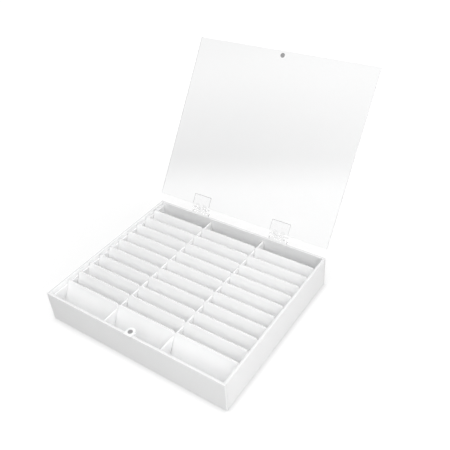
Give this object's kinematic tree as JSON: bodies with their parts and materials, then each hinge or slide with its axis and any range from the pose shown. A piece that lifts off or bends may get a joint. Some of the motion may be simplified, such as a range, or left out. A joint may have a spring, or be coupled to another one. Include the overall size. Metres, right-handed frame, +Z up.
{
  "type": "glasses organizer",
  "caption": "Shallow opal acrylic tray with columns of leaning dividers for folded glasses, under a clear hinged lid with a magnetic catch.",
  "frame": {"origin": "middle of the underside of the tray, where it rests on a table", "axes": "+Z up, -Y towards the front wall with the catch, +X towards the right-hand side seen from the front"},
  "size_m": [0.45, 0.6123, 0.4153],
  "materials": {
    "opal_acrylic": "white opal acrylic sheet, glossy faces, polished edges",
    "clear_acrylic": "clear acrylic sheet, glossy, polished edges",
    "clear_plastic": "clear moulded plastic, glossy",
    "nickel_plate": "nickel-plated magnet, slightly dulled"
  },
  "bodies": {
    "tray": {"floor_panel": "opal_acrylic", "front_wall": "opal_acrylic", "back_wall": "opal_acrylic", "left_wall": "opal_acrylic", "right_wall": "opal_acrylic", "left_rail": "opal_acrylic", "column_rail_1": "opal_acrylic", "column_rail_2": "opal_acrylic", "right_rail": "opal_acrylic", "divider_1_01": "opal_acrylic", "divider_1_02": "opal_acrylic", "divider_1_03": "opal_acrylic", "divider_1_04": "opal_acrylic", "divider_1_05": "opal_acrylic", "divider_1_06": "opal_acrylic", "divider_1_07": "opal_acrylic", "divider_1_08": "opal_acrylic", "divider_1_09": "opal_acrylic", "divider_1_10": "opal_acrylic", "divider_2_01": "opal_acrylic", "divider_2_02": "opal_acrylic", "divider_2_03": "opal_acrylic", "divider_2_04": "opal_acrylic", "divider_2_05": "opal_acrylic", "divider_2_06": "opal_acrylic", "divider_2_07": "opal_acrylic", "divider_2_08": "opal_acrylic", "divider_2_09": "opal_acrylic", "divider_2_10": "opal_acrylic", "divider_3_01": "opal_acrylic", "divider_3_02": "opal_acrylic", "divider_3_03": "opal_acrylic", "divider_3_04": "opal_acrylic", "divider_3_05": "opal_acrylic", "divider_3_06": "opal_acrylic", "divider_3_07": "opal_acrylic", "divider_3_08": "opal_acrylic", "divider_3_09": "opal_acrylic", "divider_3_10": "opal_acrylic", "catch_tab": "opal_acrylic", "catch_magnet": "nickel_plate", "hinge_left_wall_leaf": "clear_plastic", "hinge_left_pin": "clear_plastic", "hinge_right_wall_leaf": "clear_plastic", "hinge_right_pin": "clear_plastic"},
    "lid": {"lid_panel": "clear_acrylic", "lid_magnet": "nickel_plate", "hinge_left_lid_leaf": "clear_plastic", "hinge_right_lid_leaf": "clear_plastic"}
  },
  "joints": [
    {"name": "lid_hinge", "type": "hinge", "parent": "tray", "child": "lid", "pos_m": [0, 0.2009, 0.0832], "axis": [1, 0, 0], "range_deg": [0, 124.3]}
  ]
}
